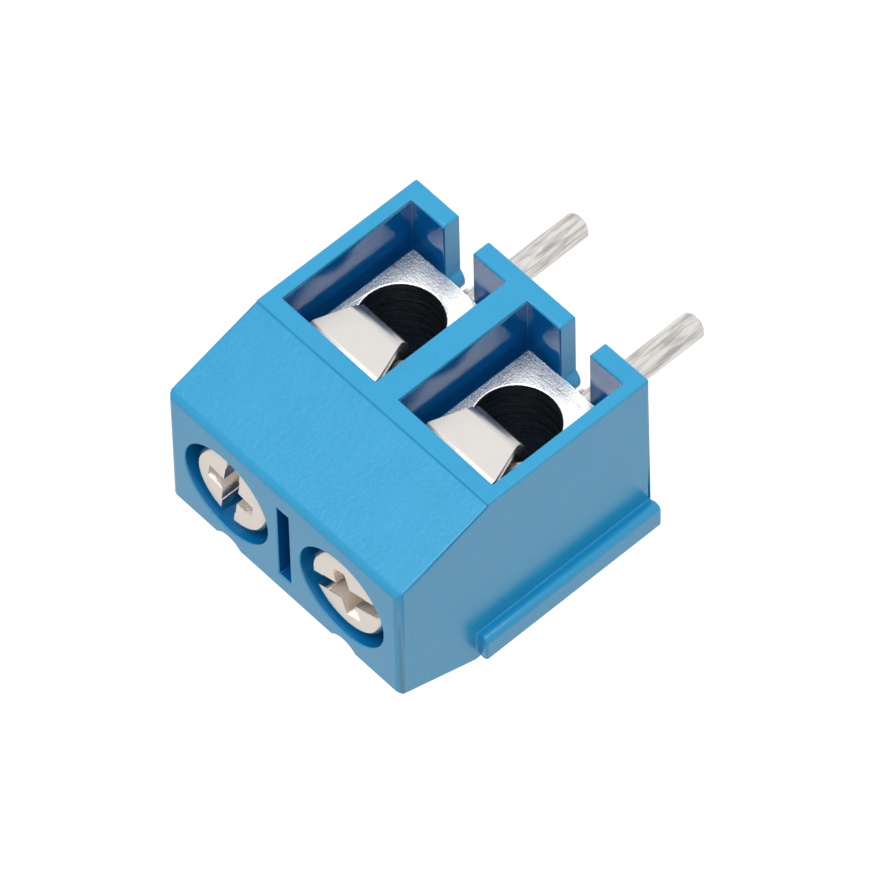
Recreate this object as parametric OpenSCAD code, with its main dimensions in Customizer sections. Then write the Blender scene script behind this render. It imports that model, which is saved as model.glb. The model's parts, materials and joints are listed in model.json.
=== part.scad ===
// Two-way screw terminal for a printed circuit board.
// Frame: +Z out of the board, -Y towards the wire mouths, origin on the board
// between the two pins. Each pole has its screw, cage, wire guard and pin on one axis.

/* [Housing] */
// Distance between neighbouring poles, which is also the width of one pole
pitch = 5; // [4.6:0.01:6.5]
// Height from the board to the screw face
height = 10; // [9.4:0.1:13]
// Distance from the pole axis forward to the wire face
front_depth = 3.85; // [3.5:0.05:5]
// Distance from the pole axis back to the rear face
back_depth = 3.65; // [3.5:0.05:5]
// Height of the upright wire face
face_h = 6.4; // [6.2:0.05:8]
// How far the sloping face leans back between the wire face and the screw face
slope_run = 1.24; // [0.6:0.02:1.6]
// Step by which the wire face stands proud of the sloping face
slope_step = 0.1; // [0.04:0.02:0.3]
// How far the rear chamfer cuts into the screw face
chamfer_run = 1.2; // [0.4:0.05:1.5]
// How far the rear chamfer runs down the rear face
chamfer_drop = 2.95; // [1:0.05:4]
// Wall beside the wire mouth, half of what divides two poles
side_wall = 0.475; // [0.3:0.025:0.7]
// Thickness of the floor under the wire mouth
floor_t = 0.65; // [0.4:0.05:0.8]
// Height of the lintel over the wire mouth, above the board
lintel_z = 5.8; // [5.75:0.05:6.1]
// Depth of the wide part of the wire mouth
mouth_depth = 2.5; // [2.2:0.05:3]
// Diameter of the well that the screw head sinks into
well_d = 3.6; // [3.3:0.05:3.9]

/* [Housing details] */
// Width of the relief cut between the screw wells
relief_w = 0.52; // [0.3:0.02:0.8]
// Length of the relief cut
relief_l = 3.45; // [2:0.05:4]
// Depth of the relief cut
relief_depth = 3; // [1:0.1:3.8]
// Width of the slot that guides the pin through the floor
slot_w = 1.25; // [1.1:0.05:1.6]
// How far each snap nub reaches into the slot
nub_reach = 0.2; // [0.12:0.02:0.24]
// Radius of the snap nubs
nub_r = 0.57; // [0.4:0.01:0.7]
// Distance from the pole axis forward to the snap nubs
nub_ahead = 0.7; // [0.66:0.02:1]
// Radius of the shallow finger grooves down the rear chamfer
finger_r = 0.66; // [0.5:0.02:1]
// Depth of the finger grooves
finger_bite = 0.23; // [0.1:0.01:0.4]

/* [Joining rib] */
// How far the dovetail rib stands out of the side
rib_t = 0.5; // [0.3:0.05:0.6]
// Width of the rib at its outer face
rib_w = 1.1; // [0.9:0.05:1.3]
// Width of the rib at its root
rib_root = 0.9; // [0.7:0.05:1]
// Length of the rib up from the board
rib_len = 7; // [4:0.1:7]
// Distance from the pole axis back to the middle of the rib
rib_back = 2.68; // [2.6:0.02:2.9]
// Radius on the outer corners of the rib
rib_round = 0.22; // [0.1:0.02:0.28]
// Clearance of the matching groove round the neighbour's rib
rib_clear = 0.05; // [0.02:0.01:0.12]

/* [Clamp cage] */
// Width of the cage
cage_w = 3.4; // [3.3:0.05:3.6]
// Distance from the pole axis forward to the face of the cage
cage_front = 2; // [1.7:0.05:2.3]
// Distance from the pole axis back to the rear of the cage
cage_back = 1.85; // [1.5:0.05:1.95]
// Height of the cage's seat above the board
cage_z = 0.9; // [0.85:0.05:1.1]
// Height of the cage
cage_h = 4.5; // [4.3:0.05:4.55]
// Chamfer along the long edges of the cage
cage_edge = 0.1; // [0.05:0.01:0.25]
// Clearance of the cage in its pocket, on each side
cage_clear = 0.05; // [0.02:0.01:0.1]
// Diameter of the wire hole
wire_d = 2.72; // [2.3:0.02:2.8]
// Height of the wire hole's axis above the seat of the cage
wire_up = 2.1; // [1.95:0.05:2.3]

/* [Solder pin] */
// Diameter of the pin
pin_d = 0.9; // [0.7:0.02:1]
// Length of the pin below the board face
pin_len = 4.25; // [3:0.05:5.5]
// Diameter of the thicker stem from the board face up into the cage
stem_d = 1.1; // [1.02:0.02:1.2]
// Depth of the stem's seat in the cage
pin_seat = 0.55; // [0.4:0.05:0.6]
// Chamfer at the pin's tip
pin_tip = 0.1; // [0.05:0.01:0.25]

/* [Wire guard] */
// Thickness of the guard strip
guard_t = 0.3; // [0.2:0.02:0.34]
// Width of the guard round the screw
guard_w = 3.2; // [3.1:0.05:3.3]
// Width of the tab at its upper bend
tab_top_w = 2.86; // [2.6:0.02:3.1]
// Width of the tab at its lower bend
tab_tip_w = 1.86; // [1.6:0.02:2]
// Gap between the tab and the face of the cage
tab_gap = 0.4; // [0.3:0.02:0.5]
// Outer radius of the guard's bends
bend_r = 0.55; // [0.42:0.01:0.6]
// Distance from the pole axis back to the end of the upper leg
guard_back = 1.6; // [1.45:0.05:1.8]
// Distance from the pole axis back to the end of the lower leg
leg_back = 1.2; // [0.6:0.05:1.5]
// Height of the lower leg's underside above the axis of the wire hole
leg_up = 0.5; // [0.4:0.02:0.56]

/* [Clamp screw] */
// Thread diameter
screw_d = 2.5; // [2.2:0.05:2.6]
// Clearance of the thread in the cage, and of the guard's hole round it
screw_clear = 0.03; // [0.02:0.01:0.08]
// Diameter of the head
head_d = 3; // [2.8:0.05:3.2]
// Height of the head
head_h = 2.1; // [1.6:0.05:2.3]
// Depth of the head below the screw face when the clamp is open
head_sink = 0.17; // [0:0.01:0.4]
// Gap between the screw's tip and the guard's lower leg
tip_gap = 0.05; // [0.02:0.01:0.1]
// Width of the driver slot
drive_w = 0.55; // [0.4:0.05:0.7]
// Depth of the driver slot
drive_depth = 0.7; // [0.4:0.05:1]
// Width of the cross recess's wings
cross_w = 0.62; // [0.4:0.02:0.7]
// Reach of the cross recess from the axis
cross_reach = 0.95; // [0.7:0.05:1.1]

/* [Hidden] */
$fn = 64;
poles = 2;
eps = 0.01;

width = pitch * poles;
mouth_w = pitch - 2 * side_wall;
top_front = -front_depth + slope_run;
top_back = back_depth - chamfer_run;
chamfer_z = height - chamfer_drop;
pocket_w = cage_w + 2 * cage_clear;
pocket_front = -front_depth + mouth_depth;
pocket_back = cage_back + cage_clear;

cage_top = cage_z + cage_h;
wire_z = cage_z + wire_up;

tab_y = -cage_front - tab_gap - guard_t;
bend_y = tab_y + bend_r;
guard_top = cage_top + guard_t;
leg_z = wire_z + leg_up;

tip_z = leg_z + guard_t + tip_gap;
head_top = height - head_sink;
head_base = head_top - head_h;
tip_cut = 0.3;
head_edge = 0.12;
// How the two driver slots happen to stand, in degrees
drive_turn = [20, 82];

// X of the axis of pole i, counted from 1
function pole_x(i) = (i - (poles + 1) / 2) * pitch;

// Lays a profile drawn in Y and Z along X, centred on X = 0
module along_x(length) {
    rotate([90, 0, 90]) linear_extrude(height = length, center = true) children();
}

// Box from its low corner to its high corner
module span_box(low, high) {
    translate(low) cube(high - low);
}

// ---------------------------------------------------------------- housing

// Side view: upright wire face, leaning slope, flat screw face, rear chamfer
module housing_profile() {
    polygon([
        [-front_depth, 0],
        [back_depth, 0],
        [back_depth, chamfer_z],
        [top_back, height],
        [top_front, height],
        [-front_depth + slope_step, face_h],
        [-front_depth, face_h]
    ]);
}

// Plan of the dovetail that stands to the left of X = 0, grown by grow all round
module dovetail_plan(grow) {
    r = rib_round + grow;
    out = rib_t - rib_round;
    half_out = rib_w / 2 + grow;
    half_root = rib_root / 2 + grow;
    flat = rib_w / 2 - rib_round;
    for (s = [-1, 1])
        translate([-out, s * flat]) circle(r = r);
    polygon([[eps, -half_root], [-out, -half_out], [-out, half_out], [eps, half_root]]);
    translate([-rib_t - grow, -flat]) square([rib_t + grow, 2 * flat]);
}

module dovetail(grow, length) {
    translate([0, rib_back, 0]) linear_extrude(height = length) dovetail_plan(grow);
}

// Wide wire mouth, then the pocket that holds the cage
module wire_chamber() {
    span_box([-mouth_w / 2, -front_depth - eps, floor_t],
             [mouth_w / 2, pocket_front, lintel_z]);
    span_box([-pocket_w / 2, pocket_front - eps, cage_z],
             [pocket_w / 2, pocket_back, lintel_z]);
}

module screw_well() {
    translate([0, 0, lintel_z - eps]) cylinder(d = well_d, h = height - lintel_z + 2 * eps);
}

// Open-ended slot in the floor: the pin slides in from the front and snaps past two nubs
module pin_slot_plan() {
    difference() {
        union() {
            circle(d = slot_w);
            translate([-slot_w / 2, -front_depth - eps]) square([slot_w, front_depth + eps]);
        }
        for (s = [-1, 1])
            translate([s * (slot_w / 2 + nub_r - nub_reach), -nub_ahead]) circle(r = nub_r);
    }
}

module pin_slot() {
    translate([0, 0, -eps]) linear_extrude(height = cage_z + 2 * eps) pin_slot_plan();
}

// Groove with a round bottom, parallel to the rear chamfer
module finger_groove() {
    lean = atan2(chamfer_run, chamfer_drop);
    reach = norm([chamfer_run, chamfer_drop]) + 2 * finger_r;
    translate([0, back_depth, chamfer_z])
        rotate([lean, 0, 0])
            translate([0, finger_r - finger_bite, -finger_r]) cylinder(r = finger_r, h = reach);
}

module relief_cut() {
    span_box([-relief_w / 2, -relief_l / 2, height - relief_depth],
             [relief_w / 2, relief_l / 2, height + eps]);
}

module housing() {
    color([0.29, 0.67, 0.85])
    difference() {
        union() {
            along_x(width) housing_profile();
            translate([-width / 2, 0, 0]) dovetail(0, rib_len);
        }
        for (i = [1:poles])
            translate([pole_x(i), 0, 0]) {
                wire_chamber();
                screw_well();
                pin_slot();
                finger_groove();
            }
        for (i = [1:poles - 1])
            translate([pole_x(i) + pitch / 2, 0, 0]) relief_cut();
        translate([width / 2, 0, -eps]) dovetail(rib_clear, rib_len + rib_clear + eps);
    }
}

// ---------------------------------------------------------------- clamp cage

// Front view of the cage with its long edges chamfered
module cage_outline() {
    half = cage_w / 2;
    polygon([
        [-half + cage_edge, cage_z], [half - cage_edge, cage_z],
        [half, cage_z + cage_edge], [half, cage_top - cage_edge],
        [half - cage_edge, cage_top], [-half + cage_edge, cage_top],
        [-half, cage_top - cage_edge], [-half, cage_z + cage_edge]
    ]);
}

module clamp_cage(i) {
    color([0.84, 0.84, 0.82])
    translate([pole_x(i), 0, 0])
    difference() {
        translate([0, cage_back, 0])
            rotate([90, 0, 0]) linear_extrude(height = cage_front + cage_back) cage_outline();
        translate([0, cage_back + eps, wire_z])
            rotate([90, 0, 0]) cylinder(d = wire_d, h = cage_front + cage_back + 2 * eps);
        translate([0, 0, wire_z])
            cylinder(r = screw_d / 2 + screw_clear, h = cage_top - wire_z + eps);
        translate([0, 0, cage_z - eps]) cylinder(d = stem_d, h = pin_seat + eps);
    }
}

// ---------------------------------------------------------------- solder pin

module solder_pin(i) {
    color([0.86, 0.85, 0.82])
    translate([pole_x(i), 0, -pin_len]) {
        cylinder(d1 = pin_d - 2 * pin_tip, d2 = pin_d, h = pin_tip);
        translate([0, 0, pin_tip]) cylinder(d = pin_d, h = pin_len - pin_tip);
        translate([0, 0, pin_len]) cylinder(d = stem_d, h = cage_z + pin_seat);
    }
}

// ---------------------------------------------------------------- wire guard

// Side view of the tab with its two bends, back to where the flat legs begin
module guard_bend_profile() {
    intersection() {
        difference() {
            union() {
                for (z = [guard_top - bend_r, leg_z + bend_r])
                    translate([bend_y, z]) circle(r = bend_r);
                translate([tab_y, leg_z + bend_r])
                    square([guard_t, guard_top - leg_z - 2 * bend_r]);
            }
            for (z = [guard_top - bend_r, leg_z + bend_r])
                translate([bend_y, z]) circle(r = bend_r - guard_t);
            translate([tab_y + guard_t, leg_z + bend_r])
                square([bend_r, guard_top - leg_z - 2 * bend_r]);
        }
        translate([tab_y - eps, leg_z - eps])
            square([bend_r + eps, guard_top - leg_z + 2 * eps]);
    }
}

// Front view of the tab, narrowing from the upper bend to the lower one
module tab_outline() {
    polygon([
        [-tab_top_w / 2, guard_top + eps], [tab_top_w / 2, guard_top + eps],
        [tab_top_w / 2, guard_top - bend_r], [tab_tip_w / 2, leg_z + bend_r / 2],
        [tab_tip_w / 2, leg_z - eps], [-tab_tip_w / 2, leg_z - eps],
        [-tab_tip_w / 2, leg_z + bend_r / 2], [-tab_top_w / 2, guard_top - bend_r]
    ]);
}

// Upper leg: shoulders widen it to ring the screw
module upper_leg_plan() {
    shoulder = bend_y + (guard_w - tab_top_w);
    difference() {
        polygon([
            [-tab_top_w / 2, bend_y], [tab_top_w / 2, bend_y],
            [guard_w / 2, shoulder], [guard_w / 2, guard_back],
            [-guard_w / 2, guard_back], [-guard_w / 2, shoulder]
        ]);
        circle(r = screw_d / 2 + screw_clear);
    }
}

// Lower leg: a tongue with a round end, under the screw's tip
module lower_leg_plan() {
    round_y = leg_back - tab_tip_w / 2;
    translate([-tab_tip_w / 2, bend_y]) square([tab_tip_w, round_y - bend_y]);
    translate([0, round_y]) circle(d = tab_tip_w);
}

module wire_guard(i) {
    color([0.92, 0.9, 0.88])
    translate([pole_x(i), 0, 0]) {
        intersection() {
            along_x(guard_w) guard_bend_profile();
            translate([0, bend_y + eps, 0])
                rotate([90, 0, 0]) linear_extrude(height = 2 * bend_r) tab_outline();
        }
        translate([0, 0, cage_top]) linear_extrude(height = guard_t) upper_leg_plan();
        translate([0, 0, leg_z]) linear_extrude(height = guard_t) lower_leg_plan();
    }
}

// ---------------------------------------------------------------- clamp screw

// Half section: chamfered tip, thread at its outer diameter, head with eased edges
module screw_section() {
    polygon([
        [0, tip_z], [screw_d / 2 - tip_cut, tip_z], [screw_d / 2, tip_z + tip_cut],
        [screw_d / 2, head_base], [head_d / 2 - head_edge, head_base],
        [head_d / 2, head_base + head_edge], [head_d / 2, head_top - head_edge],
        [head_d / 2 - head_edge, head_top], [0, head_top]
    ]);
}

// Slot right across the head, with a cross recess sunk through it
module driver_recess() {
    centre_r = drive_w * 0.8;
    cross_depth = drive_depth * 1.5;
    translate([-head_d, -drive_w / 2, head_top - drive_depth])
        cube([2 * head_d, drive_w, drive_depth + eps]);
    for (a = [0, 90])
        rotate([0, 0, a])
            translate([-cross_reach, -cross_w / 2, head_top - drive_depth])
                cube([2 * cross_reach, cross_w, drive_depth + eps]);
    translate([0, 0, head_top - cross_depth])
        cylinder(r1 = centre_r * 0.6, r2 = centre_r, h = cross_depth + eps);
}

module clamp_screw(i) {
    color([0.8, 0.8, 0.79])
    translate([pole_x(i), 0, 0])
    difference() {
        rotate_extrude() screw_section();
        rotate([0, 0, drive_turn[i - 1]]) driver_recess();
    }
}

housing();
clamp_cage(1);  // clamp_cage_1
clamp_cage(2);  // clamp_cage_2
solder_pin(1);  // solder_pin_1
solder_pin(2);  // solder_pin_2
wire_guard(1);  // wire_guard_1
wire_guard(2);  // wire_guard_2
clamp_screw(1);  // clamp_screw_1
clamp_screw(2);  // clamp_screw_2
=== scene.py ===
"""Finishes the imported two-way screw terminal and sets it in a plain studio."""

import json
import math

import bmesh
import bpy
from bpy.props import FloatProperty, FloatVectorProperty, PointerProperty
from mathutils import Euler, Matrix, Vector


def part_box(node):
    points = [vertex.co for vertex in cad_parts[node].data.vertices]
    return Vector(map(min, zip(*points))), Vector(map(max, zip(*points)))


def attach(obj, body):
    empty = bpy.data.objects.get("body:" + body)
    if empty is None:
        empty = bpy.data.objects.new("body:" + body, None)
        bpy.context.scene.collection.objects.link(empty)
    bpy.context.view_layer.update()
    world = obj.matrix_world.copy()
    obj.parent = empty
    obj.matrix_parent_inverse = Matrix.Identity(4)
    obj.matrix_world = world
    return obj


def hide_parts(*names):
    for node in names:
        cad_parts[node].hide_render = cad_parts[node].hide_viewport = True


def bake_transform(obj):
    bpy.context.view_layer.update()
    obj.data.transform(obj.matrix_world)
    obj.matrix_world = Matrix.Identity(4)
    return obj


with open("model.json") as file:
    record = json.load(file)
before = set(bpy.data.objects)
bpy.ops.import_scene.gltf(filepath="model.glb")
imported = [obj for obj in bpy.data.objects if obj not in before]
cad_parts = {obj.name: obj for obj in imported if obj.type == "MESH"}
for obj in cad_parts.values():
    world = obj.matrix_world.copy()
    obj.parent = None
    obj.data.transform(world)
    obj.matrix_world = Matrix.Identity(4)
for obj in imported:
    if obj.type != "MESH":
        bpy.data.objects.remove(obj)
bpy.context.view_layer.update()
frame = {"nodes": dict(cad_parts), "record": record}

bl_info = {
    "name": "Board screw terminal",
    "version": (1, 0, 0),
    "blender": (4, 5, 0),
    "location": "View3D > Sidebar > Terminal",
    "description": "Builds the moulded block, cages, guards, screws and pins of a screw terminal",
    "category": "Object",
}

MM = 0.001
POLES = (1, 2)

CREASE = 35  # degrees by which the faces of a moulded edge turn, at least
NEAR = 0.02 * MM  # how close a point has to be to lie on an outer face
BROW_FRONT = -2.3 * MM  # edges of the screw face in front of this belong to the brow
LEAD_IN_REACH = 2.03 * MM  # from a pole's axis to the +X wall of its mouth
RELIEF_LOW = Vector((-0.3, -1.8, 6.9)) * MM  # box of the relief cut between the wells
RELIEF_HIGH = Vector((0.3, 1.8)) * MM
WELL_FOOT = 6 * MM  # height at which the screw wells start
TONGUE_STEPS = 12
TURN_STEPS = 36  # steps in one turn of the thread
LAMP_WAY = Vector((-0.04, -0.97, 0.2)).normalized()
LAMP_REACH = 0.45
FLOOR_HALF = 1.2
MOUNTS = {mount["name"]: mount for mount in frame["record"]["mounts"]}


def pole_axis(pole):
    """Foot of a pole's upright axis, on the board."""
    return Vector((MOUNTS[f"driver_slot_{pole}"]["pos_m"][0], 0, 0))


# ---------------------------------------------------------------- settings


class HousingSettings(bpy.types.PropertyGroup):
    shade: FloatVectorProperty(
        name="Plastic colour", description="Colour of the moulded block",
        subtype="COLOR", min=0, max=1, default=(0.0235, 0.362, 0.655))
    deep_shade: FloatVectorProperty(
        name="Deep colour", description="Colour where the pigment lies thicker",
        subtype="COLOR", min=0, max=1, default=(0.018, 0.335, 0.62))
    # Painted shade: the walls inside the wire mouths and the relief cut get this darker colour for
    # the shade that falls in them.
    recess_shade: FloatVectorProperty(
        name="Painted recess shade",
        description="Darker colour that paints the shade inside the wire mouths and the relief cut",
        subtype="COLOR", min=0, max=1, default=(0.003, 0.135, 0.40))
    # Painted shade: the walls of the screw wells get this darker colour for the shade in them,
    # lighter than in the mouths because more light reaches the wells.
    well_recess_shade: FloatVectorProperty(
        name="Painted well shade", description="Darker colour that paints the shade on the walls of the screw wells",
        subtype="COLOR", min=0, max=1, default=(0.004, 0.20, 0.52))
    edge: FloatProperty(
        name="Edge radius", description="Rounding of the moulded edges",
        unit="LENGTH", precision=5, default=0.045 * MM)
    brow_edge: FloatProperty(
        name="Brow radius",
        description="Rounding of the front and side edges of the screw face, and of the lead-ins",
        unit="LENGTH", precision=5, default=0.24 * MM)
    rim_edge: FloatProperty(
        name="Rim radius", description="Rounding of the block's outline and of the wire mouths",
        unit="LENGTH", precision=5, default=0.09 * MM)
    roughness: FloatProperty(
        name="Roughness", description="How dull the plastic is", default=0.22)


class CageSettings(bpy.types.PropertyGroup):
    plate: FloatVectorProperty(
        name="Plating", description="Colour of the tin plate on the cages",
        subtype="COLOR", min=0, max=1, default=(0.94, 0.94, 0.93))
    edge: FloatProperty(
        name="Edge break",
        description="Width of the broken edges, the rim of the wire hole among them",
        unit="LENGTH", precision=5, default=0.06 * MM)
    # Painted shade: the walls of the wire hole get this dark colour for the shade inside the hole.
    bore_shade: FloatVectorProperty(
        name="Painted bore shade", description="Dark colour that paints the shade inside the wire hole",
        subtype="COLOR", min=0, max=1, default=(0.05, 0.055, 0.05))


class GuardSettings(bpy.types.PropertyGroup):
    strip: FloatVectorProperty(
        name="Strip colour", description="Colour of the wire guards",
        subtype="COLOR", min=0, max=1, default=(0.61, 0.585, 0.56))
    edge: FloatProperty(
        name="Edge break", description="Rounding left on the stamped edges",
        unit="LENGTH", precision=5, default=0.025 * MM)
    bend_room: FloatProperty(
        name="Bend room",
        description="How far behind the guard's front its lower leg starts to give",
        unit="LENGTH", precision=5, default=0.55 * MM)
    give: FloatProperty(
        name="Give", description="Length of the lower leg that bends when the screw presses it",
        unit="LENGTH", precision=5, default=1.15 * MM)


class ScrewSettings(bpy.types.PropertyGroup):
    zinc: FloatVectorProperty(
        name="Zinc colour", description="Colour of the zinc plate on the screws",
        subtype="COLOR", min=0, max=1, default=(0.72, 0.66, 0.60))
    edge: FloatProperty(
        name="Edge break", description="Rounding of the edges of head and recess",
        unit="LENGTH", precision=5, default=0.04 * MM)
    head: FloatProperty(
        name="Head height", description="Height of the screw's head",
        unit="LENGTH", precision=5, default=2.1 * MM)
    thread_radius: FloatProperty(
        name="Thread radius", description="Radius over the crests of the thread",
        unit="LENGTH", precision=5, default=1.25 * MM)
    pitch: FloatProperty(
        name="Thread pitch", description="Rise of the thread in one turn",
        unit="LENGTH", precision=5, default=0.45 * MM)
    depth: FloatProperty(
        name="Thread depth", description="Depth of the thread",
        unit="LENGTH", precision=5, default=0.24 * MM)


class PinSettings(bpy.types.PropertyGroup):
    tin: FloatVectorProperty(
        name="Tin colour", description="Colour of the tinned pins",
        subtype="COLOR", min=0, max=1, default=(0.66, 0.635, 0.61))
    edge: FloatProperty(
        name="Edge break", description="Rounding of the edges of the pins",
        unit="LENGTH", precision=5, default=0.02 * MM)


class StudioSettings(bpy.types.PropertyGroup):
    camera_place: FloatVectorProperty(
        name="Camera place", description="Where the camera stands",
        subtype="TRANSLATION", unit="LENGTH", default=(-0.14552, -0.28111, 0.13265))
    camera_turn: FloatVectorProperty(
        name="Camera turn", description="How the camera is turned",
        subtype="EULER", unit="ROTATION",
        default=(math.radians(-56.3497), math.radians(47.2227), math.radians(178.6948)))
    lens: FloatProperty(
        name="Lens", description="Focal length in millimetres", default=480.69)
    surround: FloatProperty(
        name="Surround", description="Light that the white surround gives the object", default=0.5)
    lamp_power: FloatProperty(
        name="Lamp power", description="Power of the soft lamp", unit="POWER", default=1.45)
    lamp_size: FloatProperty(
        name="Lamp size", description="Side of the square lamp", unit="LENGTH", default=0.4)
    floor_drop: FloatProperty(
        name="Floor drop", description="Height of the object's origin over the floor",
        unit="LENGTH", default=45 * MM)
    floor_glow: FloatProperty(
        name="Floor glow",
        description="How much whiter the floor looks than it is lit", default=0.62)


# ---------------------------------------------------------------- finishes


class Wire:
    """A value in a finish, which arithmetic turns into Math nodes."""

    def __init__(self, finish, socket):
        self.finish = finish
        self.socket = socket

    def maths(self, operation, first, second):
        return self.finish.add("ShaderNodeMath", {"operation": operation}, {0: first, 1: second})

    def __add__(self, other):
        return self.maths("ADD", self, other)

    def __radd__(self, other):
        return self.maths("ADD", other, self)

    def __sub__(self, other):
        return self.maths("SUBTRACT", self, other)

    def __rsub__(self, other):
        return self.maths("SUBTRACT", other, self)

    def __mul__(self, other):
        return self.maths("MULTIPLY", self, other)

    def __rmul__(self, other):
        return self.maths("MULTIPLY", other, self)


class Sheet:
    """The nodes of a material or a world."""

    def __init__(self, owner):
        owner.use_nodes = True
        self.nodes = owner.node_tree.nodes
        self.links = owner.node_tree.links
        self.nodes.clear()

    def feed(self, socket, value):
        """Links a Wire to a socket, or sets the socket to a constant."""
        if isinstance(value, Wire):
            self.links.new(value.socket, socket)
        else:
            socket.default_value = value

    def add(self, kind, settings=None, inputs=None, output=0):
        """Adds a node with its settings, then its socket values, and returns one output."""
        node = self.nodes.new(kind)
        for name, value in (settings or {}).items():
            if name == "stops":
                set_stops(node.color_ramp, value)
            else:
                setattr(node, name, value)
        for name, value in (inputs or {}).items():
            self.feed(node.inputs[name], value)
        return Wire(self, node.outputs[output] if len(node.outputs) else None)

    def seen_direct(self):
        """1 for what the camera sees, straight, mirrored or through a clear body, or else 0."""
        camera, glossy, clear = (
            self.add("ShaderNodeLightPath", output=f"Is {kind} Ray")
            for kind in ("Camera", "Glossy", "Transmission"))
        settings = {"operation": "ADD", "use_clamp": True}
        return self.add("ShaderNodeMath", settings, {0: camera + glossy, 1: clear})


class Finish(Sheet):
    """A procedural finish: one Principled shader and the nodes that feed it."""

    def __init__(self, name, **constants):
        self.material = bpy.data.materials.new(name)
        super().__init__(self.material)
        self.shader = self.nodes.new("ShaderNodeBsdfPrincipled")
        surface = Wire(self, self.shader.outputs["BSDF"])
        self.add("ShaderNodeOutputMaterial", {}, {"Surface": surface})
        for socket, value in constants.items():
            self.feed(self.shader.inputs[socket.replace("_", " ")], value)

    def place(self, stretch=(1, 1, 1), turn=(0, 0, 0)):
        """Position on the object in millimetres, turned and stretched."""
        here = self.add("ShaderNodeTexCoord", output="Object")
        scale = [value / MM for value in stretch]
        return self.add("ShaderNodeMapping", {}, {"Vector": here, "Rotation": turn, "Scale": scale})

    def noise(self, place, scale, detail=2.0, roughness=0.5):
        """Soft noise from 0 to 1."""
        inputs = {"Vector": place, "Scale": scale, "Detail": detail, "Roughness": roughness}
        return self.add("ShaderNodeTexNoise", {}, inputs)

    def ramp(self, value, stops):
        """Maps a value through a ramp with (position, level) stops."""
        return self.add("ShaderNodeValToRGB", {"stops": stops}, {0: value})

    def blend(self, factor, first, second):
        """Colour that goes from first to second."""
        inputs = {0: factor, 6: first, 7: second}
        return self.add("ShaderNodeMix", {"data_type": "RGBA"}, inputs, output=2)

    def tint(self, factor, colour, least):
        """A colour that goes from darker, by the factor least, to itself."""
        return self.blend(factor, opaque(colour, least), opaque(colour))

    def paint(self, socket, value):
        """Feeds one of the shader's sockets."""
        self.feed(self.shader.inputs[socket], value)

    def emboss(self, height, depth):
        """Bumps the surface by a height from 0 to 1, times a depth in metres."""
        inputs = {"Strength": 1.0, "Distance": depth, "Height": height}
        self.paint("Normal", self.add("ShaderNodeBump", {}, inputs))


def set_stops(ramp, stops):
    """Sets a colour ramp's stops from (position, level) pairs."""
    while len(ramp.elements) < len(stops):
        ramp.elements.new(0.5)
    for element, (position, level) in zip(ramp.elements, stops):
        element.position = position
        element.color = (level, level, level, 1)


def opaque(colour, factor=1.0):
    """A colour as the four numbers that a socket takes, made darker by a factor."""
    return (*(channel * factor for channel in colour), 1)


def moulded_plastic(name, deep, shade, roughness, grain_depth):
    """Glossy polyamide with faint mottling and a fine moulded grain."""
    finish = Finish(name, IOR=1.45)
    place = finish.place()
    cloud = finish.noise(place, 0.9, detail=3)
    grain = finish.noise(place, 8, detail=3, roughness=0.6)
    mottle = finish.ramp(cloud * 0.6 + grain * 0.4, ((0.3, 0), (0.7, 1)))
    finish.paint("Base Color", finish.blend(mottle, opaque(deep), opaque(shade)))
    finish.paint("Roughness", roughness - 0.05 + cloud * 0.1)
    finish.emboss(grain * 0.7 + cloud * 0.3, grain_depth)
    return finish.material


def tin_plate(settings):
    """Bright tin plate: fine speckle, faint draw lines and a few scratches."""
    finish = Finish("tin_plate", Metallic=1.0)
    place = finish.place()
    speckle = finish.noise(place, 11, detail=4, roughness=0.65)
    patch = finish.noise(place, 1.6, detail=2)
    drawn = finish.noise(finish.place(stretch=(1, 1, 14)), 1.3, detail=3)
    sweep = finish.noise(finish.place(stretch=(0.5, 1, 3), turn=(0, 0.7, 0)), 0.8, detail=1)
    scratch = finish.ramp(sweep, ((0.53, 0), (0.537, 1), (0.544, 0)))
    tone = finish.tint(patch, settings.plate, 0.92)
    finish.paint("Base Color", finish.blend(scratch, tone, opaque(settings.plate, 0.45)))
    finish.paint("Roughness", 0.10 + speckle * 0.22 + patch * 0.08)
    finish.emboss(speckle * 0.7 + drawn * 0.3 - scratch * 0.2, 0.012 * MM)
    return finish.material


def shaded_bore(settings):
    """Dark metal that paints the shade inside the wire hole, with the uneven rings that the drill
    left.
    """
    finish = Finish("shaded_bore", Metallic=0.6)
    rings = finish.noise(finish.place(stretch=(0.35, 7, 0.35)), 1.6, detail=4, roughness=0.6)
    level = finish.ramp(rings, ((0.38, 0), (0.62, 1)))
    dark, light = opaque(settings.bore_shade, 0.45), opaque(settings.bore_shade, 1.6)
    finish.paint("Base Color", finish.blend(level, dark, light))
    finish.paint("Roughness", 0.22 + level * 0.2)
    finish.emboss(rings, 0.06 * MM)
    return finish.material


def rolled_strip(settings):
    """Warm satin strip with fine rolling lines."""
    finish = Finish("rolled_strip", Metallic=1.0)
    place = finish.place()
    lines = finish.noise(finish.place(stretch=(12, 1, 1)), 1.8, detail=3)
    stain = finish.noise(place, 1.4, detail=3)
    finish.paint("Base Color", finish.tint(stain, settings.strip, 0.93))
    finish.paint("Roughness", 0.26 + lines * 0.12)
    finish.emboss(lines, 0.004 * MM)
    return finish.material


def zinc_plate(settings):
    """Zinc plate, slightly blotched and worn bright at random."""
    finish = Finish("zinc_plate", Metallic=1.0)
    place = finish.place()
    blotch = finish.noise(place, 2.4, detail=4, roughness=0.6)
    fine = finish.noise(place, 14, detail=3)
    finish.paint("Base Color", finish.tint(blotch, settings.zinc, 0.88))
    finish.paint("Roughness", 0.14 + blotch * 0.16)
    finish.emboss(blotch * 0.6 + fine * 0.4, 0.014 * MM)
    return finish.material


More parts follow.
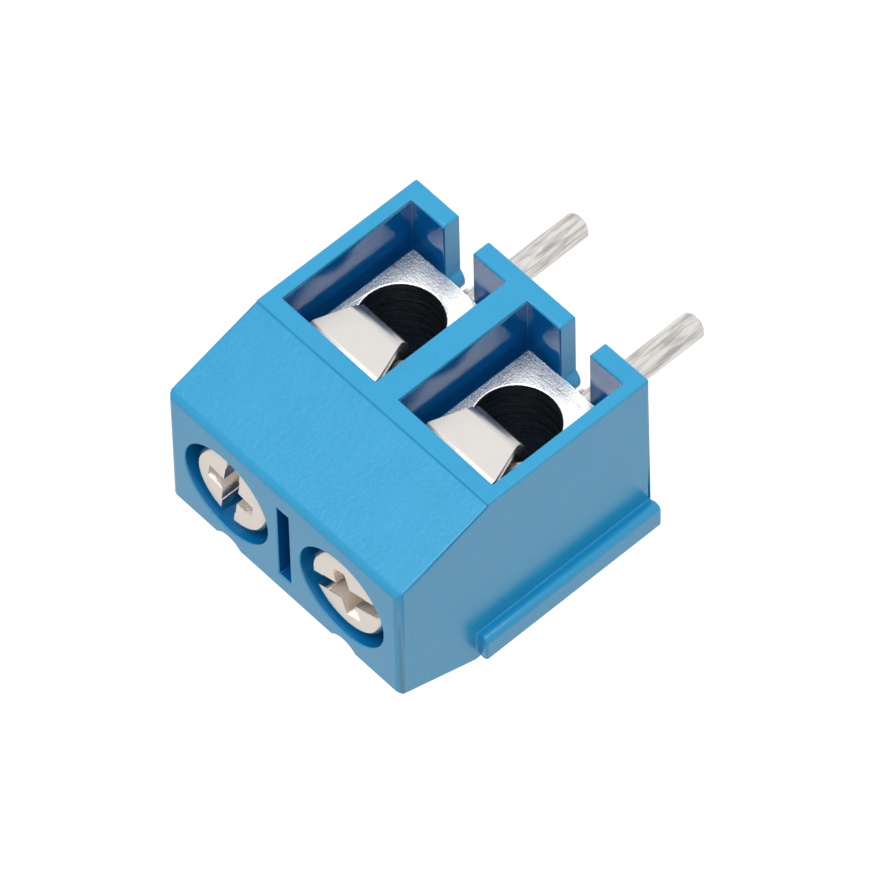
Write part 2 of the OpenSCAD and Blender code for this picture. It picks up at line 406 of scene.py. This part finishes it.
def tinned_wire(settings):
    """Tinned pin: lengthwise draw marks under a thin, uneven coat."""
    finish = Finish("tinned_wire", Metallic=1.0)
    place = finish.place()
    drawn = finish.noise(finish.place(stretch=(1, 1, 0.12)), 7, detail=4, roughness=0.6)
    streak = finish.ramp(drawn, ((0.36, 0), (0.6, 1)))
    coat = finish.noise(place, 3.2, detail=3)
    speckle = finish.noise(place, 15, detail=2)
    finish.paint("Base Color", finish.tint(streak, settings.tin, 0.55))
    finish.paint("Roughness", 0.16 + coat * 0.2)
    finish.emboss(drawn * 0.5 + speckle * 0.3 + coat * 0.2, 0.02 * MM)
    return finish.material


def pale_floor(settings):
    """White card that still shows a shadow, and is clear from below."""
    finish = Finish("pale_floor", Emission_Strength=1.0)
    fibre = finish.noise(finish.place(), 0.05, detail=4)
    finish.paint("Base Color", finish.blend(fibre, (0.80, 0.80, 0.80, 1), (0.84, 0.84, 0.84, 1)))
    finish.paint("Roughness", 0.8 + fibre * 0.15)
    glow = (settings.floor_glow,) * 3 + (1,)
    finish.paint("Emission Color", finish.blend(finish.seen_direct(), (0, 0, 0, 1), glow))
    finish.paint("Alpha", 1 - finish.add("ShaderNodeNewGeometry", output="Backfacing"))
    return finish.material


# ---------------------------------------------------------------- shaping


def merged_copy(node):
    """A node's solid as one closed mesh with its flat faces whole."""
    shape = bmesh.new()
    shape.from_mesh(frame["nodes"][node].data)
    bmesh.ops.remove_doubles(shape, verts=shape.verts, dist=0.0005 * MM)
    bmesh.ops.dissolve_limit(
        shape, angle_limit=math.radians(0.3), verts=shape.verts, edges=shape.edges)
    return shape


def creases(shape, least):
    """Edges whose two faces turn by at least so many degrees."""
    limit = math.radians(least)
    return [e for e in shape.edges if e.is_manifold and abs(e.calc_face_angle(0)) > limit]


def soften(shape, edges, radius, segments=2, clamp=True):
    """Rounds some edges of a shape."""
    bmesh.ops.bevel(
        shape, geom=edges, offset=radius, offset_type="OFFSET",
        segments=segments, profile=0.5, affect="EDGES", clamp_overlap=clamp, material=-1)


def within(point, low, high):
    """Whether a point lies in a box."""
    return all(a < value < b for a, value, b in zip(low, point, high))


def sever(shape, place, normal):
    """Cuts a shape in two with a plane and leaves both sides in place."""
    geometry = [*shape.verts, *shape.edges, *shape.faces]
    bmesh.ops.bisect_plane(shape, geom=geometry, plane_co=place, plane_no=normal, dist=0.0001 * MM)


def keep_faces(shape, chosen):
    """Keeps the faces that a test picks and closes the openings that are left."""
    spare = [face for face in shape.faces if not chosen(face.calc_center_bounds())]
    bmesh.ops.delete(shape, geom=spare, context="FACES")
    rim = [edge for edge in shape.edges if edge.is_boundary]
    bmesh.ops.edgeloop_fill(shape, edges=rim)


def finished(shape, name, body, slot, *materials):
    """Makes a piece of a shape: merged, facing outwards, smooth and riding on its body."""
    bmesh.ops.remove_doubles(shape, verts=shape.verts, dist=0.0001 * MM)
    bmesh.ops.recalc_face_normals(shape, faces=shape.faces)
    for face in shape.faces:
        face.smooth = True
    mesh = bpy.data.meshes.new(name)
    shape.to_mesh(mesh)
    shape.free()
    piece = bpy.data.objects.new(name, mesh)
    bpy.context.scene.collection.objects.link(piece)
    for material in materials:
        mesh.materials.append(material)
    weighted = piece.modifiers.new("Flat faces stay flat", "WEIGHTED_NORMAL")
    weighted.keep_sharp = False
    if body:
        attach(piece, body)
    return piece


# ---------------------------------------------------------------- operators


class TERMINAL_OT_housing(bpy.types.Operator):
    """Rounds the edges of the moulded block and gives the walls inside the wire mouths, the screw
    wells and the relief cut glossier plastic in darker colours, which paint the shade that falls
    there
    """

    bl_idname = "terminal.housing"
    bl_label = "Housing"

    def execute(self, context):
        settings = context.scene.terminal_housing
        low, high = (Vector(corner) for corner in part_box("housing"))
        shape = merged_copy("housing")
        brow, _ = self.long_edges(shape, low, high)
        soften(shape, brow, settings.brow_edge, segments=3, clamp=False)
        _, rims = self.long_edges(shape, low, high)
        soften(shape, rims, settings.rim_edge, segments=3, clamp=False)
        soften(shape, creases(shape, CREASE), settings.edge, clamp=False)
        # Faces inside the mouths, the wells and the relief cut get the darker materials that paint
        # their shade.
        cores = self.cores(low, high)
        for face in shape.faces:
            middle = face.calc_center_median()
            face.material_index = max(
                (index for index, *core in cores if within(middle, *core)), default=0)
        skin = moulded_plastic(
            "blue_plastic", settings.deep_shade, settings.shade, settings.roughness, 0.014 * MM)
        wall = self.polished("recess_shaded_plastic", settings.recess_shade, 0.12)
        well = self.polished("well_shaded_plastic", settings.well_recess_shade, 0.15)
        piece = finished(shape, "moulded_block", "block", "blue_plastic", skin, wall, well)
        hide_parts("housing")
        return {"FINISHED"}

    def polished(self, name, shade, roughness):
        """Glossier plastic for the walls inside the mouths, wells and relief cut, in a darker
        colour that paints the shade in these recesses.
        """
        return moulded_plastic(name, Vector(shade) * 0.8, shade, roughness, 0.006 * MM)

    def long_edges(self, shape, low, high):
        """The straight edges round the screw face, and those of the wire face and the sides."""
        brow, rims = [], []
        side = min(-low.x, high.x)
        for edge in creases(shape, CREASE):
            ends = [vert.co for vert in edge.verts]
            length = (ends[0] - ends[1]).length
            narrow = min(face.calc_area() for face in edge.link_faces) < length * 0.3 * MM
            if length < 0.5 * MM or narrow or edge.calc_face_angle_signed(0) < 0:
                continue
            outer = all(abs(abs(end.x) - side) < NEAR for end in ends)
            front = all(end.y - low.y < NEAR for end in ends)
            if all(high.z - end.z < NEAR for end in ends):
                if outer or ends[0].y < BROW_FRONT:
                    brow.append(edge)
            elif front and all(self.is_lead_in(end) for end in ends):
                brow.append(edge)
            elif outer or front:
                rims.append(edge)
        return brow, rims

    def is_lead_in(self, point):
        """Whether a point lies on the +X side wall of a mouth."""
        return any(abs(point.x - pole_axis(pole).x - LEAD_IN_REACH) < NEAR for pole in POLES)

    def cores(self, low, high):
        """Material index and box of the mouths, the wells and the relief cut, inside the skin; the
        walls in these boxes get painted shade.
        """
        skin = 0.12 * MM
        relief_top = Vector((*RELIEF_HIGH, high.z - skin / 2))
        boxes = [(1, RELIEF_LOW, relief_top)]
        for pole in POLES:
            grow = Vector((0.36, 0.36, 0.36)) * MM
            for index, node in enumerate((f"clamp_cage_{pole}", f"clamp_screw_{pole}"), start=1):
                bottom, top = (Vector(corner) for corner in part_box(node))
                bottom -= grow
                top += grow
                if index == 1:
                    bottom.y = low.y + skin
                else:
                    bottom.z = WELL_FOOT
                top.z = min(top.z, high.z - skin / 2)
                boxes.append((index, bottom, top))
        return boxes


class TERMINAL_OT_cages(bpy.types.Operator):
    """Breaks the edges of the clamp cages and darkens their wire holes with painted shade"""

    bl_idname = "terminal.cages"
    bl_label = "Clamp cages"

    def execute(self, context):
        settings = context.scene.terminal_cage
        plate, bore = tin_plate(settings), shaded_bore(settings)
        for pole in POLES:
            entry = MOUNTS[f"wire_entry_{pole}"]
            reach = entry["dims"]["r_mm"] * MM + settings.edge / 4
            shape = merged_copy(f"clamp_cage_{pole}")
            soften(shape, creases(shape, 30), settings.edge)
            shape.normal_update()
            for face in shape.faces:
                middle = face.calc_center_median()
                off = Vector((middle.x - entry["pos_m"][0], middle.z - entry["pos_m"][2]))
                # Faces inside the wire hole get the dark material that paints the shade there.
                face.material_index = int(off.length < reach and abs(face.normal.y) < 0.3)
            piece = finished(shape, f"cage_{pole}", "block", "plated_cage", plate, bore)
            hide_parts(f"clamp_cage_{pole}")
        return {"FINISHED"}


class TERMINAL_OT_guards(bpy.types.Operator):
    """Splits each wire guard at its lower bend into a hood on the block and a loose tongue, cut
    across in steps along its length
    """

    bl_idname = "terminal.guards"
    bl_label = "Wire guards"

    def execute(self, context):
        settings = context.scene.terminal_guard
        strip = rolled_strip(settings)
        for pole in POLES:
            node = f"wire_guard_{pole}"
            low, high = (Vector(corner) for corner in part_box(node))
            root = low.y + settings.bend_room
            end = root + settings.give

            def is_tongue(point):
                return point.y > root and point.z < (low.z + high.z) / 2

            hood = self.blank(node, settings.edge, [root])
            keep_faces(hood, lambda point: not is_tongue(point))
            piece = finished(hood, f"guard_{pole}_hood", "block", "guard_strip", strip)
            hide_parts(node)

            steps = [
                root + (end - root) * step / TONGUE_STEPS for step in range(TONGUE_STEPS + 1)]
            tongue = self.blank(node, settings.edge, steps)
            keep_faces(tongue, is_tongue)
            piece = finished(tongue, f"guard_{pole}_tongue", None, "guard_strip", strip)
            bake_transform(piece)
            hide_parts(node)
        return {"FINISHED"}

    def blank(self, node, edge, cuts):
        """The whole guard with broken edges, cut across at some distances along Y."""
        shape = merged_copy(node)
        soften(shape, creases(shape, 50), edge)
        for y in cuts:
            sever(shape, (0, y, 0), (0, 1, 0))
        return shape


class TERMINAL_OT_screws(bpy.types.Operator):
    """Eases the heads of the clamp screws and cuts their threads"""

    bl_idname = "terminal.screws"
    bl_label = "Clamp screws"

    def execute(self, context):
        settings = context.scene.terminal_screw
        zinc = zinc_plate(settings)
        for pole in POLES:
            node, body = f"clamp_screw_{pole}", f"screw_{pole}"
            low, high = (Vector(corner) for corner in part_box(node))
            shoulder = high.z - settings.head
            head = merged_copy(node)
            sever(head, (0, 0, shoulder), (0, 0, 1))
            keep_faces(head, lambda point: point.z > shoulder - 0.001 * MM)
            soften(head, creases(head, 40), settings.edge)
            piece = finished(head, f"screw_{pole}_head", body, "zinc_screw", zinc)
            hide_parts(node)

            shank = self.thread(settings, pole_axis(pole), low.z, shoulder + settings.edge)
            piece = finished(shank, f"screw_{pole}_thread", body, "zinc_screw", zinc)
            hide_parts(node)
        return {"FINISHED"}

    def thread(self, settings, foot, low, high):
        """Right-hand thread: its profile swept round and up, cut off, with a chamfered tip."""
        shape = bmesh.new()
        crest = settings.thread_radius
        root = crest - settings.depth
        profile = ((root, 0), (root, 0.12), (crest, 0.44), (crest, 0.56), (root, 0.88), (root, 1))
        start = low - 2 * settings.pitch
        chain = [
            shape.verts.new((foot.x + radius, 0, start + rise * settings.pitch))
            for radius, rise in profile]
        edges = [shape.edges.new(pair) for pair in zip(chain, chain[1:])]
        turns = math.ceil((high - low) / settings.pitch) + 3
        bmesh.ops.spin(
            shape, geom=[*chain, *edges], cent=foot, axis=(0, 0, 1), angle=math.tau * turns,
            steps=TURN_STEPS * turns, dvec=(0, 0, settings.pitch / TURN_STEPS), use_merge=False)
        bmesh.ops.remove_doubles(shape, verts=shape.verts, dist=0.002 * MM)
        for height in (low, high):
            sever(shape, (0, 0, height), (0, 0, 1))
        keep_faces(shape, lambda point: low < point.z < high)
        for vert in shape.verts:
            out = vert.co - foot
            reach = root - 0.1 * MM + (vert.co.z - low)
            level = math.hypot(out.x, out.y)
            if level > reach:
                vert.co.x = foot.x + out.x * reach / level
                vert.co.y = foot.y + out.y * reach / level
        return shape


class TERMINAL_OT_pins(bpy.types.Operator):
    """Eases the edges of the solder pins and tins them"""

    bl_idname = "terminal.pins"
    bl_label = "Solder pins"

    def execute(self, context):
        settings = context.scene.terminal_pin
        tin = tinned_wire(settings)
        for pole in POLES:
            node = f"solder_pin_{pole}"
            shape = merged_copy(node)
            soften(shape, creases(shape, 30), settings.edge)
            piece = finished(shape, f"pin_{pole}", "block", "tinned_pin", tin)
            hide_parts(node)
        return {"FINISHED"}


def white_world(surround):
    """White to the camera and in reflections, and a dimmer even light for the rest."""
    world = bpy.data.worlds.new("white_surround")
    sheet = Sheet(world)
    level = sheet.seen_direct() * (1 - surround) + surround
    sky = sheet.add("ShaderNodeBackground", {}, {"Color": (1, 1, 1, 1), "Strength": level})
    sheet.add("ShaderNodeOutputWorld", {}, {"Surface": sky})
    return world


class TERMINAL_OT_studio(bpy.types.Operator):
    """Sets the pale floor, the soft lamp, the white surround and the camera"""

    bl_idname = "terminal.studio"
    bl_label = "Studio"

    def execute(self, context):
        settings = context.scene.terminal_studio
        scene = context.scene
        scene.view_settings.view_transform = "Standard"
        scene.world = white_world(settings.surround)

        camera = bpy.data.objects.new("camera", bpy.data.cameras.new("camera"))
        camera.location = settings.camera_place
        camera.rotation_euler = Euler(settings.camera_turn, "XYZ")
        camera.data.lens = settings.lens
        camera.data.clip_start = 0.01
        camera.data.clip_end = 10
        scene.collection.objects.link(camera)
        scene.camera = camera

        lamp_data = bpy.data.lights.new("soft_lamp", "AREA")
        lamp_data.shape = "SQUARE"
        lamp_data.size = settings.lamp_size
        lamp_data.energy = settings.lamp_power
        lamp = bpy.data.objects.new("soft_lamp", lamp_data)
        lamp.location = LAMP_WAY * LAMP_REACH
        lamp.rotation_euler = LAMP_WAY.to_track_quat("Z", "Y").to_euler()
        scene.collection.objects.link(lamp)

        sheet = bmesh.new()
        bmesh.ops.create_grid(sheet, x_segments=4, y_segments=4, size=FLOOR_HALF)
        bmesh.ops.translate(sheet, verts=sheet.verts, vec=(0, 0, -settings.floor_drop))
        mesh = bpy.data.meshes.new("floor")
        sheet.to_mesh(mesh)
        sheet.free()
        mesh.materials.append(pale_floor(settings))
        floor = bpy.data.objects.new("floor", mesh)
        scene.collection.objects.link(floor)
        return {"FINISHED"}


class TERMINAL_PT_sidebar(bpy.types.Panel):
    """Lists the pieces of the terminal in the 3D view's sidebar"""

    bl_idname = "TERMINAL_PT_sidebar"
    bl_label = "Screw terminal"
    bl_space_type = "VIEW_3D"
    bl_region_type = "UI"
    bl_category = "Terminal"

    def draw(self, context):
        for operator, group in STEPS:
            box = self.layout.box()
            box.operator(operator.bl_idname)
            settings = getattr(context.scene, group)
            for name in settings.__annotations__:
                box.prop(settings, name)


STEPS = (
    (TERMINAL_OT_studio, "terminal_studio"),
    (TERMINAL_OT_housing, "terminal_housing"),
    (TERMINAL_OT_cages, "terminal_cage"),
    (TERMINAL_OT_guards, "terminal_guard"),
    (TERMINAL_OT_screws, "terminal_screw"),
    (TERMINAL_OT_pins, "terminal_pin"),
)
GROUPS = {
    "terminal_studio": StudioSettings,
    "terminal_housing": HousingSettings,
    "terminal_cage": CageSettings,
    "terminal_guard": GuardSettings,
    "terminal_screw": ScrewSettings,
    "terminal_pin": PinSettings,
}


def register():
    for name, group in GROUPS.items():
        bpy.utils.register_class(group)
        setattr(bpy.types.Scene, name, PointerProperty(type=group))
    for operator, _ in STEPS:
        bpy.utils.register_class(operator)
    bpy.utils.register_class(TERMINAL_PT_sidebar)


def unregister():
    bpy.utils.unregister_class(TERMINAL_PT_sidebar)
    for operator, _ in reversed(STEPS):
        bpy.utils.unregister_class(operator)
    for name, group in reversed(GROUPS.items()):
        delattr(bpy.types.Scene, name)
        bpy.utils.unregister_class(group)


def main():
    register()
    bpy.ops.terminal.studio()
    bpy.ops.terminal.housing()
    bpy.ops.terminal.cages()
    bpy.ops.terminal.guards()
    bpy.ops.terminal.screws()
    bpy.ops.terminal.pins()


if __name__ == "__main__":
    main()
